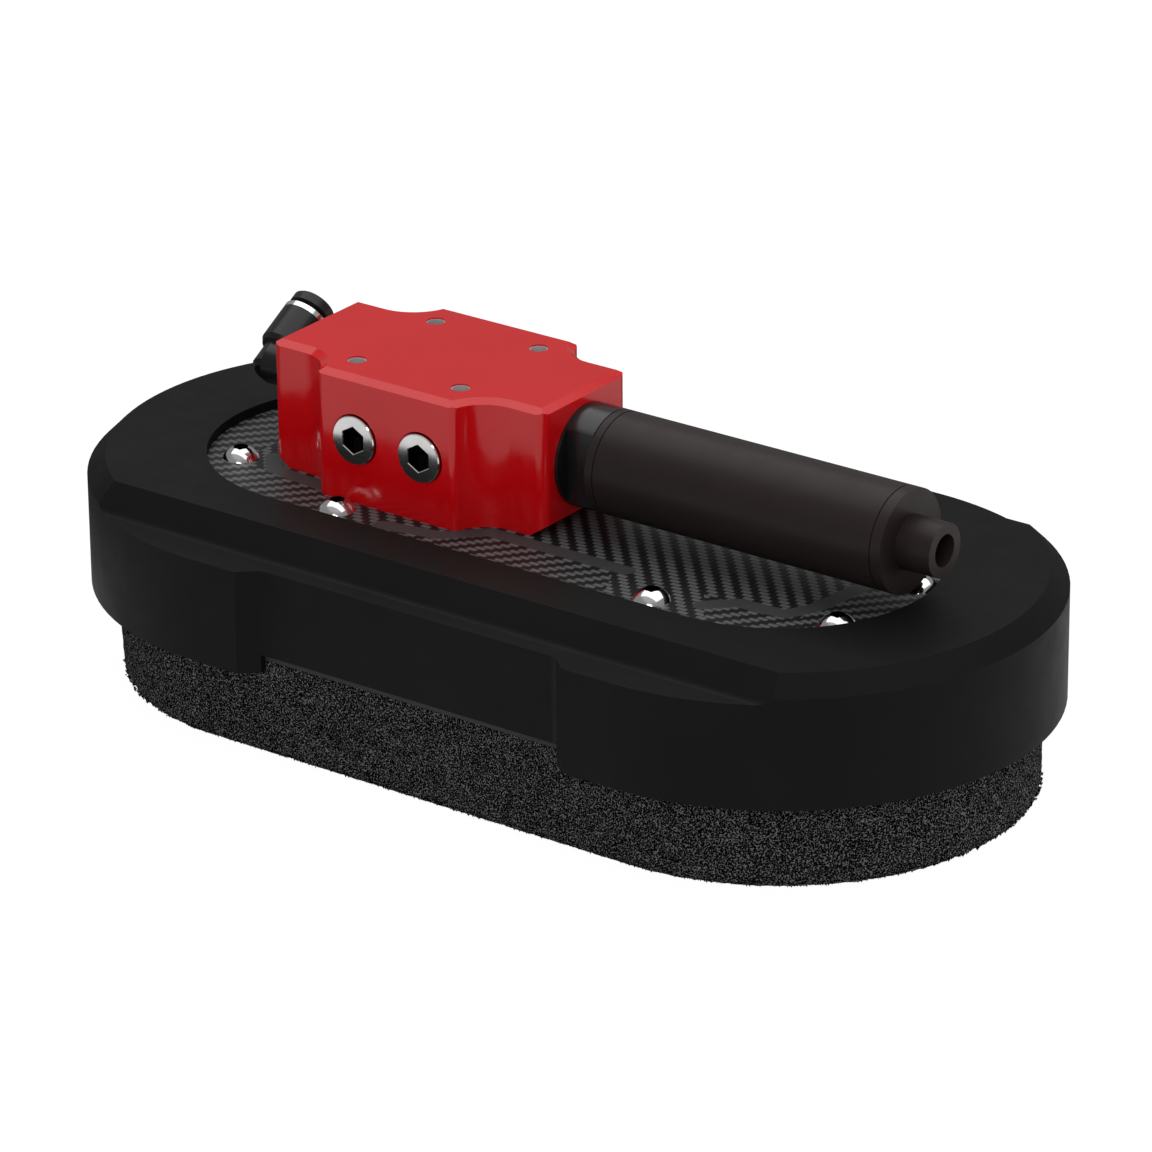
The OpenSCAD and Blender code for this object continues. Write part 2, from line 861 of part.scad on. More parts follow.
module cartridge_seals() {
  color("#151515")
    for (x = [ejector_land / 2, ejector_length - ejector_land / 2])
      along_x(ejector_left + x, air_z)
        rotate_extrude()
          translate([ejector_r - cartridge_cord_r, 0])
            circle(r = cartridge_cord_r);
}

// a port plug with its collar outwards
module plug(side) {
  color("#c9ccd0")
    translate([plug_mid + side * plug_offset, -plug_face - plug_seal_thick, air_z])
      rotate([-90, 0, 0])
        difference() {
          union() {
            translate([0, 0, plug_edge - plug_collar_thick])
              cylinder(r = plug_collar_r, h = plug_collar_thick - plug_edge);
            translate([0, 0, -plug_collar_thick])
              cylinder(r1 = plug_collar_r - plug_edge, r2 = plug_collar_r, h = plug_edge);
            translate([0, 0, -eps])
              cylinder(r = plug_thread_r, h = plug_thread_length + eps);
          }
          translate([0, 0, -plug_collar_thick - over])
            rotate([0, 0, 30])
              cylinder(r = plug_socket / sqrt(3), h = plug_socket_depth + over, $fn = 6);
          translate([0, 0, -plug_collar_thick - over])
            rotate([0, 0, 30])
              cylinder(
                r1 = (plug_socket + 2 * plug_socket_bevel + 2 * over) / sqrt(3), r2 = plug_socket / sqrt(3),
                h = plug_socket_bevel + over, $fn = 6
              );
        }
}

module plug_left() {
  plug(-1);
}

module plug_right() {
  plug(1);
}

module plug_seal(side) {
  color("#202020")
    translate([plug_mid + side * plug_offset, -plug_face, air_z])
      rotate([90, 0, 0])
        difference() {
          cylinder(r = plug_collar_r - plug_play, h = plug_seal_thick);
          translate([0, 0, -over])
            cylinder(r = plug_thread_r, h = plug_seal_thick + 2 * over);
        }
}

module plug_seal_left() {
  plug_seal(-1);
}

module plug_seal_right() {
  plug_seal(1);
}

// ---------- push-in elbow ----------

module fitting_stem() {
  color("#b9bcbf")
    difference() {
      union() {
        along_x(block_left, fitting_z)
          cylinder(r = plug_thread_r, h = stem_thread_length);
        along_x(block_left - stem_flange, fitting_z)
          cylinder(r = stem_flange_r, h = stem_flange + eps);
        along_x(pivot_end, fitting_z)
          cylinder(r = pivot_r, h = block_left - pivot_end);
      }
      along_x(pivot_end - over, fitting_z)
        cylinder(r = stem_bore_r, h = block_left - pivot_end + stem_thread_length + 2 * over);
    }
}

module elbow_body() {
  barrel_start = block_left - stem_flange - free_gap;
  color("#2b2d2f")
    difference() {
      union() {
        along_x(barrel_end + barrel_bevel, fitting_z)
          cylinder(r = barrel_r, h = barrel_start - barrel_end - barrel_bevel);
        along_x(barrel_end, fitting_z)
          cylinder(r1 = barrel_r - barrel_bevel, r2 = barrel_r, h = barrel_bevel + eps);
        along_socket() {
          translate([0, 0, neck_bevel - neck_tail])
            cylinder(r = neck_r, h = neck_tail - neck_bevel + sleeve_foot + eps);
          translate([0, 0, -neck_tail])
            cylinder(r1 = neck_r - neck_bevel, r2 = neck_r, h = neck_bevel + eps);
          translate([0, 0, sleeve_foot])
            cylinder(r1 = neck_r, r2 = sleeve_r - sleeve_drop, h = sleeve_flare);
          translate([0, 0, sleeve_foot + sleeve_flare])
            cylinder(r1 = sleeve_r - sleeve_drop, r2 = sleeve_r, h = sleeve_bevel);
          translate([0, 0, sleeve_foot + sleeve_flare + sleeve_bevel])
            cylinder(r = sleeve_r, h = sleeve_end - ring_thick - sleeve_foot - sleeve_flare - sleeve_bevel);
        }
      }
      // running bore on the stem's pivot
      along_x(pivot_end - free_gap, fitting_z)
        cylinder(r = pivot_r + running_gap, h = barrel_start - pivot_end + free_gap + over);
      along_x(socket_x - stem_bore_r / 2, fitting_z)
        cylinder(r = stem_bore_r, h = pivot_inset + stem_bore_r / 2);
      along_socket() {
        cylinder(r = stem_bore_r, h = tube_stop + eps);
        translate([0, 0, tube_stop])
          cylinder(r = tube_bore_r, h = sleeve_end);
        translate([0, 0, seal_floor])
          cylinder(r = seal_well_r, h = sleeve_end);
      }
    }
}

module tube_seal() {
  color("#151515")
    along_socket()
      translate([0, 0, seal_floor])
        difference() {
          cylinder(r = seal_well_r, h = seal_thick);
          translate([0, 0, -over])
            cylinder(r = tube_pass_r, h = seal_thick + 2 * over);
        }
}

module fitting_ring() {
  color("#d9dbdd")
    along_socket()
      translate([0, 0, sleeve_end - ring_thick])
        difference() {
          cylinder(r = sleeve_r, h = ring_thick);
          translate([0, 0, -over])
            cylinder(r = ring_bore_r, h = ring_thick + 2 * over);
        }
}

// slides in the ring: a short sleeve with a rim to press
module release_collar() {
  color("#303234")
    along_socket()
      difference() {
        union() {
          translate([0, 0, seal_floor + seal_thick + collar_gap])
            cylinder(r = collar_r, h = sleeve_end + collar_rim - seal_floor - seal_thick);
          translate([0, 0, sleeve_end + collar_gap])
            cylinder(r = collar_rim_r, h = collar_rim - collar_bevel);
          translate([0, 0, sleeve_end + collar_gap + collar_rim - collar_bevel])
            cylinder(r1 = collar_rim_r, r2 = collar_rim_r - collar_bevel, h = collar_bevel);
        }
        cylinder(r = tube_pass_r, h = 2 * sleeve_end);
      }
}

// ---------- silencer ----------

module silencer_adapter() {
  color("#1c1c1e")
    difference() {
      union() {
        along_x(ejector_right, air_z)
          cylinder(r = ejector_r, h = spigot_length + eps);
        along_x(block_right, air_z)
          cylinder(r = silencer_r, h = adapter_rim);
        intersection() {
          along_x(block_right, air_z)
            cylinder(r = silencer_r, h = adapter_length);
          translate([block_right, -flat_half, air_z - silencer_r])
            cube([adapter_length, 2 * flat_half, 2 * silencer_r]);
        }
        along_x(adapter_end - eps, air_z)
          cylinder(r = tenon_r, h = ring_length + tenon + eps);
      }
      along_x(ejector_right - over, air_z)
        cylinder(r = spigot_bore_r, h = spigot_length + adapter_length + ring_length + tenon + 2 * over);
    }
}

module silencer_ring() {
  color("#3a3638")
    along_x(adapter_end, air_z)
      difference() {
        union() {
          cylinder(r = silencer_r - groove, h = ring_length);
          translate([0, 0, groove])
            cylinder(r = silencer_r, h = ring_length - 2 * groove);
        }
        translate([0, 0, -over])
          cylinder(r = tenon_r, h = ring_length + 2 * over);
      }
}

module silencer_tube() {
  color("#39353a")
    along_x(ring_end, air_z)
      difference() {
        cylinder(r = silencer_r, h = tube_length);
        translate([0, 0, -over])
          cylinder(r = silencer_r - tube_wall, h = tube_length + 2 * over);
      }
}

module silencer_core() {
  color("#c9c5b8")
    along_x(ring_end, air_z)
      difference() {
        cylinder(r = silencer_r - tube_wall, h = tube_length - tenon);
        translate([0, 0, -over])
          cylinder(r = tenon_r, h = tenon + over);
        cylinder(r = silencer_r - tube_wall - core_wall, h = tube_length);
      }
}

module silencer_end_cap() {
  color("#37333a")
    difference() {
      union() {
        along_x(tube_end - tenon, air_z)
          cylinder(r = silencer_r - tube_wall, h = tenon + eps);
        along_x(tube_end, air_z)
          cylinder(r = silencer_r - groove, h = 2 * groove);
        along_x(tube_end + groove, air_z)
          cylinder(r = silencer_r, h = cap_length - groove);
        along_x(cap_end - eps, air_z)
          cylinder(r = stub_r, h = stub_length + eps);
      }
      along_x(tube_end - tenon - over, air_z)
        cylinder(r = outlet_r, h = tenon + cap_length + stub_length + 2 * over);
    }
}

// ---------- assembly ----------

skirt();
top_plate();
plate_gasket();
chamber_frame();
valve_plate();
foam_backing();
foam_pad();
plate_screws();
skirt_screws();
valve_plate_screws();
block_screws();
manifold_block();
thread_inserts();
suction_screen();
block_seal();
ejector_cartridge();
cartridge_seals();
plug_left();
plug_right();
plug_seal_left();
plug_seal_right();
fitting_stem();
elbow_body();
tube_seal();
fitting_ring();
release_collar();
silencer_adapter();
silencer_ring();
silencer_tube();
silencer_core();
silencer_end_cap();
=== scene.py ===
"""Looks for the vacuum foam gripper: materials, porous foam, lights and camera."""

import math
import random

import bmesh
import bpy
from mathutils import Matrix, Vector, noise


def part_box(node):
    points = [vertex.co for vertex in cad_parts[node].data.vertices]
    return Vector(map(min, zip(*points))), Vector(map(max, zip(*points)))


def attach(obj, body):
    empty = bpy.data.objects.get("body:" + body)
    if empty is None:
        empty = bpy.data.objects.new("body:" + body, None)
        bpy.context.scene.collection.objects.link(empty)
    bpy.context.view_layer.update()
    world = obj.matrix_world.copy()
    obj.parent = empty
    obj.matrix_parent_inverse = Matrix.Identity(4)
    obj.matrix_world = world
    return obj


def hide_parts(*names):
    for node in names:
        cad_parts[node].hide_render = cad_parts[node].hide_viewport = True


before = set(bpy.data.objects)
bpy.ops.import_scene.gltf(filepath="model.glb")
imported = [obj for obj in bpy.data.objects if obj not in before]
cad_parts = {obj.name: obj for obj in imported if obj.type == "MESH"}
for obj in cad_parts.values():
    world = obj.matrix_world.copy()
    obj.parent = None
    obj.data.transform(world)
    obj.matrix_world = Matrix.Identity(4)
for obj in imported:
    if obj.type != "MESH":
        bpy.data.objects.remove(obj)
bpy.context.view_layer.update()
MM = 0.001
ROOT = "gripper"
SKY_LIGHT = 0.5  # how bright the surroundings are as light
SKY_GLOSS = 0.28  # and in reflections, near the horizon
FLOOR_WHITE = 0.92
FLOOR_GLOW = 0.6


# ---------- node helpers ----------


class Graph:
    """A material's node tree. Inputs may be numbers, tuples or other nodes' sockets."""

    def __init__(self, name):
        self.material = bpy.data.materials.new(name)
        self.material.use_nodes = True
        self.tree = self.material.node_tree
        self.shader = self.tree.nodes["Principled BSDF"]

    def node(self, kind, out=0, inputs=None, **settings):
        n = self.tree.nodes.new(kind)
        for key, value in settings.items():
            setattr(n, key, value)
        for key, value in (inputs or {}).items():
            self.put(n.inputs[key], value)
        return n.outputs[out]

    def put(self, socket, value):
        if isinstance(value, bpy.types.NodeSocket):
            self.tree.links.new(value, socket)
        else:
            socket.default_value = value

    def math(self, operation, a, b=0.0, c=0.0):
        return self.node("ShaderNodeMath", inputs={0: a, 1: b, 2: c}, operation=operation)

    def vector(self, operation, a, b=(0, 0, 0), out=0):
        return self.node("ShaderNodeVectorMath", out, {0: a, 1: b}, operation=operation)

    def place(self):
        """The point's place in the row frame, in metres."""
        return self.node("ShaderNodeTexCoord", 3)

    def noise(self, scale, detail=2.0, rough=0.5, place=None, out=0):
        where = self.place() if place is None else place
        return self.node("ShaderNodeTexNoise", out, {"Vector": where, "Scale": scale, "Detail": detail, "Roughness": rough})

    def ramp(self, value, low, high, a=0.0, b=1.0):
        return self.node(
            "ShaderNodeMapRange",
            inputs={"Value": value, "From Min": low, "From Max": high, "To Min": a, "To Max": b},
        )

    def mix(self, factor, a, b):
        n = self.tree.nodes.new("ShaderNodeMix")
        n.data_type = "RGBA"
        for socket, value in zip((n.inputs[0], n.inputs[6], n.inputs[7]), (factor, a, b)):
            self.put(socket, value)
        return n.outputs[2]

    def bump(self, height, distance, strength=1.0):
        inputs = {"Height": height, "Distance": distance, "Strength": strength}
        self.put(self.shader.inputs["Normal"], self.node("ShaderNodeBump", inputs=inputs))

    def set(self, **values):
        for key, value in values.items():
            self.put(self.shader.inputs[key.replace("_", " ")], value)
        return self.material


def rgb(hexcode):
    """A written sRGB colour as linear RGBA."""
    parts = [int(hexcode[i : i + 2], 16) / 255 for i in (0, 2, 4)]
    return tuple(c / 12.92 if c < 0.04045 else ((c + 0.055) / 1.055) ** 2.4 for c in parts) + (1.0,)


def solid(name, colour, rough, metal=0.0, level=0.5, grain=900, depth=0.00002, spread=0.08, tone=0.12):
    """Plastic, paint, rubber or metal with a fine grain and slight changes of tone and gloss."""
    g = Graph(name)
    base = rgb(colour)
    dark = tuple(c * (1 - tone) for c in base[:3]) + (1.0,)
    cloud = g.noise(35, 3)
    fine = g.noise(grain, 3, 0.6)
    g.bump(fine, depth)
    g.set(Metallic=metal, Specular_IOR_Level=level)
    g.set(Base_Color=g.mix(g.ramp(cloud, 0.35, 0.65), dark, base))
    return g.set(Roughness=g.ramp(g.noise(120, 4), 0.3, 0.7, rough - spread / 2, rough + spread / 2))


# ---------- materials ----------


def carbon():
    """Coated carbon twill: the lay changes direction between patches, and plain resin bands run between them. The
    tows' light and dark tones are painted sheen.
    """
    g = Graph("carbon_twill")
    across, along = 1.5 * MM, 1.72 * MM
    p = g.place()
    px = g.node("ShaderNodeSeparateXYZ", 0, {0: p})
    py = g.node("ShaderNodeSeparateXYZ", 1, {0: p})
    # the far half of the plate repeats the near half, turned round
    turn = g.math("MULTIPLY_ADD", g.math("LESS_THAN", py, 8 * MM), 2.0, -1.0)
    x, y = g.math("MULTIPLY", px, turn), g.math("MULTIPLY", py, turn)
    flat = g.node("ShaderNodeCombineXYZ", inputs={0: x, 1: y})

    def distance(a, b):
        a, b = (Vector((q[0] * MM, q[1] * MM, 0)) for q in (a, b))
        run = b - a
        rel = g.vector("SUBTRACT", flat, tuple(a))
        dot = g.vector("DOT_PRODUCT", rel, tuple(run), 1)
        t = g.node("ShaderNodeClamp", inputs={"Value": g.math("DIVIDE", dot, run.length_squared)})
        foot = g.node("ShaderNodeVectorMath", inputs={0: tuple(run), 3: t}, operation="SCALE")
        return g.vector("LENGTH", g.vector("SUBTRACT", rel, foot), out=1)

    def beyond(a, b):
        """1 on the right-hand side of the line from a to b."""
        nx, ny = b[1] - a[1], a[0] - b[0]
        side = g.vector("DOT_PRODUCT", flat, (nx, ny, 0), 1)
        return g.math("GREATER_THAN", side, (nx * a[0] + ny * a[1]) * MM)

    bands = [
        [(36, -23.2), (-9, -23.2), (-19, -32.8), (-36, -36)],
        [(94, 30), (93.5, 2), (91, -15), (87, -22.4), (73, -23.4), (66, -30)],
        [(-90, -15), (-84, -22), (-62, -24.5)],
    ]
    nearest = 1.0
    for line in bands:
        for a, b in zip(line, line[1:]):
            nearest = g.math("MINIMUM", nearest, distance(a, b))
    band = g.ramp(nearest, 2.5 * MM, 2.8 * MM, 1.0, 0.0)

    low = g.math("LESS_THAN", y, -23.3 * MM)
    patches = [
        g.math("MULTIPLY", beyond((-36, -40), (-19, -30)), beyond((34, -26), (40, -38))),
        beyond((72, -38), (65, -28)),
        beyond((-55, 0), (-55, -40)),
    ]
    rising = g.math("MAXIMUM", beyond((92, -18), (93, 40)), beyond((-96, 40), (-96, -40)))
    for patch in patches:
        rising = g.math("MAXIMUM", rising, g.math("MULTIPLY", low, patch))

    u, v = g.math("DIVIDE", x, across), g.math("DIVIDE", y, along)
    i, j = g.math("FLOOR", u), g.math("FLOOR", v)
    way = g.math("MULTIPLY_ADD", rising, -2.0, 1.0)
    step = g.math("FLOORED_MODULO", g.math("MULTIPLY_ADD", j, way, i), 4.0)
    over = g.math("LESS_THAN", step, 1.5)
    # each tow is domed across its own width
    cu = g.math("SINE", g.math("MULTIPLY", g.math("FRACT", u), math.pi))
    cv = g.math("SINE", g.math("MULTIPLY", g.math("FRACT", v), math.pi))
    dome = g.math("ADD", g.math("MULTIPLY", over, cv), g.math("MULTIPLY", g.math("SUBTRACT", 1.0, over), cu))
    streak = g.noise(1.0, 2, place=g.vector("MULTIPLY", p, (500, 4000, 1)))
    # painted sheen: tows on top are painted light and lighter along their middle, tows below dark, standing for
    # the fibres' reflection; the weave pattern itself is real
    light = g.mix(g.ramp(cv, 0.2, 1.0), rgb("3a3a3b"), rgb("606062"))
    light = g.mix(g.ramp(streak, 0.3, 0.8, 0.0, 0.4), light, rgb("49494a"))
    dark = g.mix(cu, rgb("0a0a0b"), rgb("151516"))
    weave_with_painted_sheen = g.mix(over, dark, light)
    plain = g.mix(g.noise(60, 3), rgb("343435"), rgb("3f3f40"))
    g.set(Base_Color=g.mix(band, weave_with_painted_sheen, plain), Specular_IOR_Level=0.25)
    g.bump(g.math("MULTIPLY", dome, g.math("SUBTRACT", 1.0, band)), 0.00008, 0.6)
    return g.set(Roughness=g.mix(band, g.mix(over, (0.5,) * 3 + (1,), (0.38,) * 3 + (1,)), (0.45,) * 3 + (1,)))


def foam():
    """Open-pored rubber foam: a net of cell walls over pores, a little denser in places; the pores are painted
    near-black as painted shade and the walls' crests light grey as painted glints.
    """
    g = Graph("foam_pores")
    cells = g.node("ShaderNodeTexVoronoi", 0, {"Vector": g.place(), "Scale": 2350.0, "Randomness": 1.0})
    fine = g.noise(3200, 2, 0.6)
    coarse = g.noise(260, 2)
    wall = g.math("MULTIPLY_ADD", fine, 0.55, g.math("MULTIPLY", cells, 0.75))
    wall = g.math("MULTIPLY_ADD", coarse, 0.12, wall)
    # painted shade in the pores (near-black) and painted glints on the cell-wall crests (light grey)
    tone = g.mix(g.ramp(wall, 0.56, 0.80), rgb("000000"), rgb("131313"))
    tone = g.mix(g.ramp(wall, 0.75, 0.92), tone, rgb("656565"))
    g.set(Base_Color=tone, Roughness=1.0, Specular_IOR_Level=0.0)
    g.bump(wall, 0.0003, 0.8)
    return g.material


def red_paint():
    """Glossy red coating over machined aluminium, with the faintest ripple."""
    g = Graph("red_coating")
    tone = g.mix(g.ramp(g.noise(25, 2), 0.35, 0.65), rgb("bd060c"), rgb("c30a12"))
    g.set(Base_Color=tone, Roughness=g.ramp(g.noise(300, 3), 0.3, 0.7, 0.1, 0.17), Specular_IOR_Level=0.5)
    g.bump(g.noise(700, 2), 0.000006)
    return g.material


def metal(name, colour, rough, brushed=0.0, shade=None):
    """Bare or plated metal with fine turning marks and slightly uneven gloss, darker where shade(g) is 1."""
    g = Graph(name)
    marks = g.noise(1.0, 3, 0.6, place=g.vector("MULTIPLY", g.place(), (6000, 6000, 900)))
    tone = g.mix(g.ramp(g.noise(150, 2), 0.4, 0.7), rgb(colour), tuple(c * 0.9 for c in rgb(colour)[:3]) + (1.0,))
    if shade:
        # painted shade: the base colour goes near-black where shade(g) marks a socket recess
        dark = shade(g)
        tone = g.mix(dark, tone, (0.06, 0.06, 0.06, 1.0))
    g.set(Base_Color=tone)
    g.set(Metallic=1.0, Roughness=g.ramp(marks, 0.3, 0.7, rough * 0.8, rough * 1.25))
    g.bump(marks, 0.000004 + brushed * 0.00001)
    return g.material


def plug_socket_painted_shade(g):
    """Painted shade: 1 inside the plugs' hexagon sockets, which lie behind their faces; there the plug is painted
    near-black.
    """
    y = g.math("ABSOLUTE", g.node("ShaderNodeSeparateXYZ", 1, {0: g.place()}))
    return g.ramp(y, PLUG_FACE - 1.2 * MM, PLUG_FACE - 0.25 * MM, 1.0, 0.0)


def screw_socket_painted_shade(g):
    """Painted shade: 1 inside the plate screws' hexagon sockets, where the screw is painted near-black."""
    p = g.node("ShaderNodeSeparateXYZ", 0, {0: g.place()})
    z = g.node("ShaderNodeSeparateXYZ", 2, {0: g.place()})
    y = g.node("ShaderNodeSeparateXYZ", 1, {0: g.place()})
    nearest = 1.0
    for cx, cy in SCREWS:
        dx, dy = g.math("SUBTRACT", p, cx * MM), g.math("SUBTRACT", y, cy * MM)
        nearest = g.math("MINIMUM", nearest, g.math("ADD", g.math("MULTIPLY", dx, dx), g.math("MULTIPLY", dy, dy)))
    inside = g.math("LESS_THAN", nearest, (2.32 * MM) ** 2)
    return g.math("MULTIPLY", inside, g.ramp(z, SCREW_TOP - 0.7 * MM, SCREW_TOP - 0.25 * MM, 1.0, 0.0))


PLUG_FACE = -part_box("plug_left")[0].y
SCREW_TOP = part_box("plate_screws")[1].z
SCREWS = [(x, y) for x in (-52.7, 52.7) for y in (-34.3, 34.3)]
SCREWS += [(-97.7, -20.2), (-97.7, 20.2), (102.1, -20.0), (105.5, 12.9)]

LOOKS = {
    "skirt": solid("skirt_moulding", "121212", 0.48, level=0.07, grain=1600, depth=0.00002),
    "top_plate": carbon(),
    "foam_pad": foam(),
    "foam_backing": solid("backing_sheet", "303030", 0.7, level=0.2),
    "manifold_block": red_paint(),
    "plug_left": metal("plug_nickel", "e6e6e4", 0.09, shade=plug_socket_painted_shade),
    "plate_screws": metal("screw_steel", "dcdcdc", 0.1, shade=screw_socket_painted_shade),
    "thread_inserts": solid("insert_steel", "b9b9b9", 0.45, metal=0.2, level=0.5),
    "elbow_body": solid("fitting_body", "141415", 0.3, level=0.35, grain=1200),
    "release_collar": solid("collar_plastic", "1b1b1c", 0.35, level=0.35, grain=1200),
    "fitting_ring": metal("ring_nickel", "f2f2f2", 0.15),
    "silencer_tube": solid("silencer_plastic", "251e1c", 0.42, level=0.2, grain=1500),
    "silencer_adapter": solid("adapter_plastic", "161617", 0.24, level=0.45, grain=800),
    "silencer_core": solid("liner_felt", "b9b4a6", 0.9, level=0.2, grain=2500, depth=0.0002),
    "chamber_frame": metal("frame_aluminium", "b4b6b8", 0.35, 1.0),
    "valve_plate": solid("valve_plastic", "2f3134", 0.5, level=0.4),
    "plate_gasket": solid("gasket_rubber", "4a4a4a", 0.8, level=0.2),
    "plug_seal_left": solid("seal_rubber", "121212", 0.5, level=0.4),
    "ejector_cartridge": solid("ejector_plastic", "cfcabb", 0.4, level=0.5),
    "suction_screen": metal("screen_bronze", "a8824e", 0.6, 1.0),
}
SAME = {
    "plug_left": ["plug_right", "fitting_stem"],
    "thread_inserts": ["skirt_screws", "valve_plate_screws", "block_screws"],
    "silencer_tube": ["silencer_ring", "silencer_end_cap"],
    "plug_seal_left": ["plug_seal_right", "block_seal", "cartridge_seals", "tube_seal"],
}
for first, others in SAME.items():
    for other in others:
        LOOKS[other] = LOOKS[first]
for name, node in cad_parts.items():
    if not node.material_slots:
        node.data.materials.append(None)
    for s in node.material_slots:
        s.material = LOOKS[name]


# ---------- pieces made here ----------


def piece(name, mesh, body=ROOT, material=None, stands_for=()):
    obj = bpy.data.objects.new(name, mesh)
    bpy.context.collection.objects.link(obj)
    if material:
        obj.data.materials.append(material)
    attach(obj, body)
    if stands_for:
        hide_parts(*stands_for)
    return obj


def plain_copy(node):
    """The node's faces without its stored normals, joined into one skin with flat areas undivided."""
    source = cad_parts[node].data
    mesh = bpy.data.meshes.new(node + "_soft")
    bm = bmesh.new()
    bm.from_mesh(source)
    bmesh.ops.remove_doubles(bm, verts=bm.verts, dist=0.000002)
    bmesh.ops.dissolve_limit(bm, angle_limit=math.radians(0.4), verts=bm.verts, edges=bm.edges)
    for f in bm.faces:
        f.smooth = True
    bm.to_mesh(mesh)
    bm.free()
    for name in [a.name for a in mesh.attributes if a.name in ("custom_normal", "sharp_edge", "sharp_face")]:
        mesh.attributes.remove(mesh.attributes[name])
    return mesh


def foam_pad():
    """The pad as rough foam: the solid is rebuilt in small even faces, worn along its lower edge and pitted all over."""
    lo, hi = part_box("foam_pad")
    mesh = plain_copy("foam_pad")
    obj = piece("foam_block", mesh, ROOT, LOOKS["foam_pad"], ("foam_pad",))
    remesh = obj.modifiers.new("cells", "REMESH")
    remesh.mode = "VOXEL"
    remesh.voxel_size = 1.25 * MM
    remesh.use_smooth_shade = True
    fine = obj.evaluated_get(bpy.context.evaluated_depsgraph_get())
    worked = bpy.data.meshes.new_from_object(fine)
    obj.modifiers.clear()
    obj.data = worked
    half = (hi.x - lo.x) / 2 - (hi.y - lo.y) / 2
    radius = (hi.y - lo.y) / 2
    height = hi.z - lo.z
    rim = []
    for v in worked.vertices:
        p = v.co
        spine = Vector((max(-half, min(half, p.x)), 0, p.z))
        out = Vector((p.x, p.y, 0)) - Vector((spine.x, 0, 0))
        reach = out.length
        edge = max(0.0, 1 - (radius - reach) / (1.5 * MM)) if reach > 0 else 0.0
        rough = noise.noise(p * 900) * 0.22 * MM + noise.noise(p * 2600) * 0.15 * MM
        low = max(0.0, 1 - (p.z - lo.z) / (2.5 * MM))
        if p.x < -half:
            under = 1 - (p.z - lo.z) / height
            p -= out * ((0.7 + 2.8 * under) * MM / radius * max(0.0, -out.x / reach) ** 2)
        if edge > 0:
            out.normalize()
            round_off = 0.7 * MM * low * low
            wear = 0.35 * MM * low * noise.noise(p * 420)
            p += out * (edge * (rough + wear - round_off - 0.25 * MM))
            if low > 0.6:
                rim.append((p.copy(), out))
        if low > 0.6:
            p.z += max(0.0, 0.35 * MM * noise.noise(p * 700)) * low
    crumbs(rim, lo.z)
    return obj


def crumbs(rim, floor):
    """Torn cells along the pad's lower edge: tiny four-sided grains set into the rounded edge."""
    dice = random.Random(5)
    points, faces = [], []
    for place, out in rim:
        for _ in range(2):
            size = dice.uniform(0.4, 1.0) * MM
            shift = Vector([dice.uniform(-0.6, 0.6) * MM for _ in range(3)])
            middle = place + shift + out * 0.15 * MM
            middle.z = max(middle.z, floor + size)
            first = len(points)
            for corner in ((1, 1, 1), (1, -1, -1), (-1, 1, -1), (-1, -1, 1)):
                jitter = Vector([dice.uniform(0.5, 1.0) for _ in range(3)])
                points.append(middle + Vector(corner) * jitter * (size * 0.6))
            faces += [(first, first + 1, first + 2), (first, first + 2, first + 3), (first, first + 3, first + 1), (first + 1, first + 3, first + 2)]
    mesh = bpy.data.meshes.new("foam_crumbs")
    mesh.from_pydata(points, [], faces)
    piece("foam_crumbs", mesh, ROOT, LOOKS["foam_pad"])


foam_pad()


# ---------- camera, light, floor ----------


def camera():
    """Long lens at the three-quarter view, rolled by half a degree."""
    azimuth, elevation, roll = (math.radians(a) for a in (36.484, 23.516, -0.524))
    back = Vector((math.sin(azimuth) * math.cos(elevation), -math.cos(azimuth) * math.cos(elevation), math.sin(elevation)))
    side = Vector((math.cos(azimuth), math.sin(azimuth), 0))
    top = back.cross(side)
    right = side * math.cos(roll) + top * math.sin(roll)
    up = top * math.cos(roll) - side * math.sin(roll)
    cam = bpy.data.objects.new("camera", bpy.data.cameras.new("camera"))
    bpy.context.collection.objects.link(cam)
    cam.data.lens = 201.93
    cam.data.clip_start, cam.data.clip_end = 0.05, 20
    place = Vector((0.962743, -1.298426, 0.743346))
    cam.matrix_world = Matrix((right, up, back)).transposed().to_4x4()
    cam.location = place
    bpy.context.scene.camera = cam


def lamp(name, place, size, watts, target=(0, 0, 0.05), gloss=True):
    data = bpy.data.lights.new(name, "AREA")
    data.shape = "RECTANGLE"
    data.size, data.size_y = size
    data.energy = watts
    obj = bpy.data.objects.new(name, data)
    bpy.context.collection.objects.link(obj)
    obj.location = place
    obj.rotation_mode = "QUATERNION"
    obj.rotation_quaternion = (Vector(target) - Vector(place)).to_track_quat("-Z", "Y")
    obj.visible_camera = False
    obj.visible_glossy = gloss
    return obj


def ray_kind(tree, name):
    return tree.nodes.new("ShaderNodeLightPath").outputs[name]


def math_node(tree, operation, a, b, top=None):
    n = tree.nodes.new("ShaderNodeMath")
    n.operation = operation
    for i, v in enumerate((a, b) if top is None else (a, b, top)):
        if isinstance(v, (int, float)):
            n.inputs[i].default_value = v
        else:
            tree.links.new(v, n.inputs[i])
    return n.outputs[0]


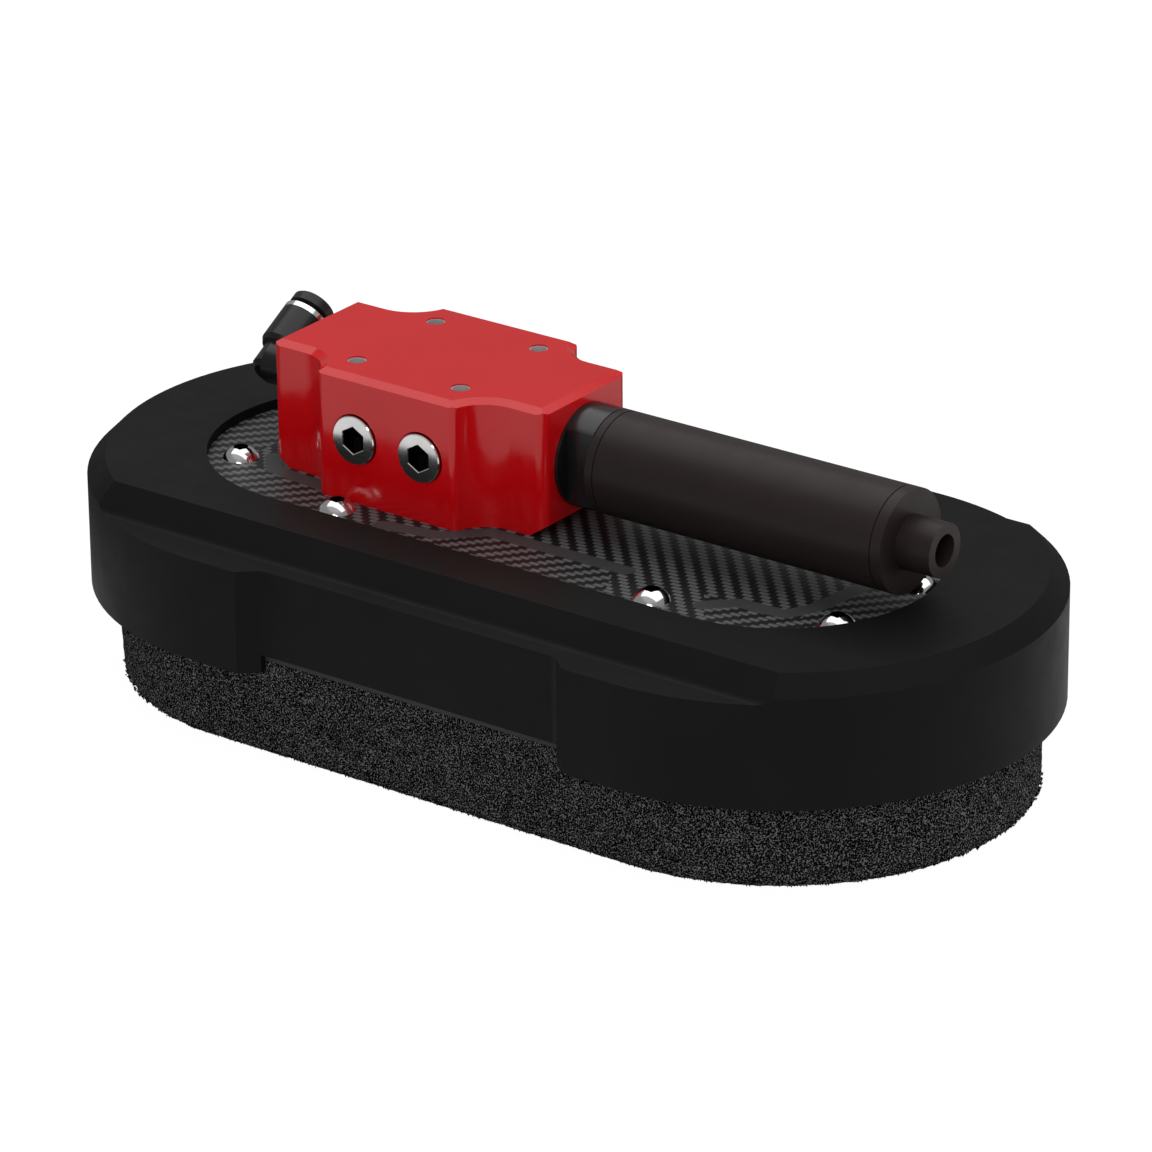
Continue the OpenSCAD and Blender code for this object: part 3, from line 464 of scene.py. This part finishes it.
def studio():
    """A white cyclorama: white to the eye, softer to the light and to polished surfaces."""
    world = bpy.data.worlds.new("studio")
    bpy.context.scene.world = world
    world.use_nodes = True
    tree = world.node_tree
    sky = tree.nodes["Background"]
    sky.inputs["Color"].default_value = (1, 1, 1, 1)
    # polished surfaces meet a brighter sky high up than near the horizon
    place = tree.nodes.new("ShaderNodeSeparateXYZ")
    tree.links.new(tree.nodes.new("ShaderNodeTexCoord").outputs["Generated"], place.inputs[0])
    climb = tree.nodes.new("ShaderNodeMapRange")
    climb.interpolation_type = "SMOOTHSTEP"
    tree.links.new(place.outputs[2], climb.inputs["Value"])
    for key, value in (("From Min", 0.6), ("From Max", 0.85), ("To Min", SKY_GLOSS - SKY_LIGHT), ("To Max", 0.0)):
        climb.inputs[key].default_value = value
    level = math_node(tree, "MULTIPLY_ADD", ray_kind(tree, "Is Glossy Ray"), climb.outputs[0], SKY_LIGHT)
    level = math_node(tree, "MAXIMUM", level, ray_kind(tree, "Is Camera Ray"))
    level = math_node(tree, "MAXIMUM", level, ray_kind(tree, "Is Transmission Ray"))
    tree.links.new(level, sky.inputs["Strength"])

    floor_mesh = bpy.data.meshes.new("floor")
    bm = bmesh.new()
    bmesh.ops.create_grid(bm, x_segments=1, y_segments=1, size=4)
    bm.to_mesh(floor_mesh)
    bm.free()
    floor = bpy.data.objects.new("floor", floor_mesh)
    bpy.context.collection.objects.link(floor)
    floor.location.z = -0.0002
    mat = bpy.data.materials.new("floor_white")
    mat.use_nodes = True
    t = mat.node_tree
    t.nodes.remove(t.nodes["Principled BSDF"])
    diffuse = t.nodes.new("ShaderNodeBsdfDiffuse")
    diffuse.inputs["Color"].default_value = (0.8, 0.8, 0.8, 1)
    glow = t.nodes.new("ShaderNodeEmission")
    # painted light: the floor glows brighter in front and to the right, a patch that polished surfaces reflect
    place = t.nodes.new("ShaderNodeSeparateXYZ")
    t.links.new(t.nodes.new("ShaderNodeTexCoord").outputs["Object"], place.inputs[0])
    slant = math_node(t, "MULTIPLY_ADD", place.outputs[1], -0.4, place.outputs[0])
    painted_floor_glow = []
    for value, dark, bright in ((slant, -0.25, -0.13), (place.outputs[1], 0.145, 0.08), (place.outputs[0], 0.07, 0.115)):
        ramp = t.nodes.new("ShaderNodeMapRange")
        ramp.interpolation_type = "SMOOTHSTEP"
        t.links.new(value, ramp.inputs["Value"])
        ramp.inputs["From Min"].default_value = dark
        ramp.inputs["From Max"].default_value = bright
        painted_floor_glow.append(ramp.outputs[0])
    painted_floor_glow = math_node(t, "MULTIPLY", painted_floor_glow[0], math_node(t, "MAXIMUM", painted_floor_glow[1], painted_floor_glow[2]))
    painted_floor_glow = math_node(t, "MULTIPLY_ADD", painted_floor_glow, 0.7, 0.11)
    seen = ray_kind(t, "Is Camera Ray")
    t.links.new(math_node(t, "MAXIMUM", painted_floor_glow, math_node(t, "MULTIPLY", seen, 1.05)), glow.inputs["Strength"])
    blend = t.nodes.new("ShaderNodeMixShader")
    share = math_node(t, "MAXIMUM", math_node(t, "MULTIPLY", seen, FLOOR_WHITE), ray_kind(t, "Is Glossy Ray"))
    # painted light: diffuse rays see the floor's glow as well, so it lights the object from below
    share = math_node(t, "MAXIMUM", share, math_node(t, "MULTIPLY", ray_kind(t, "Is Diffuse Ray"), FLOOR_GLOW))
    t.links.new(share, blend.inputs[0])
    t.links.new(diffuse.outputs[0], blend.inputs[1])
    t.links.new(glow.outputs[0], blend.inputs[2])
    t.links.new(blend.outputs[0], t.nodes["Material Output"].inputs["Surface"])
    floor_mesh.materials.append(mat)

    lamp("overhead", (-0.15, 0.45, 1.2), (2.3, 1.6), 14.5, (-0.15, 0.45, 0))
    lamp("front_right", (0.5, -1.4, 0.9), (0.8, 0.6), 6.5)
    lamp("low_back_right", (0.42, 0.22, 0.06), (0.3, 0.1), 0.4, (0.12, 0, 0.03), False)


camera()
studio()
bpy.context.scene.view_settings.view_transform = "Standard"
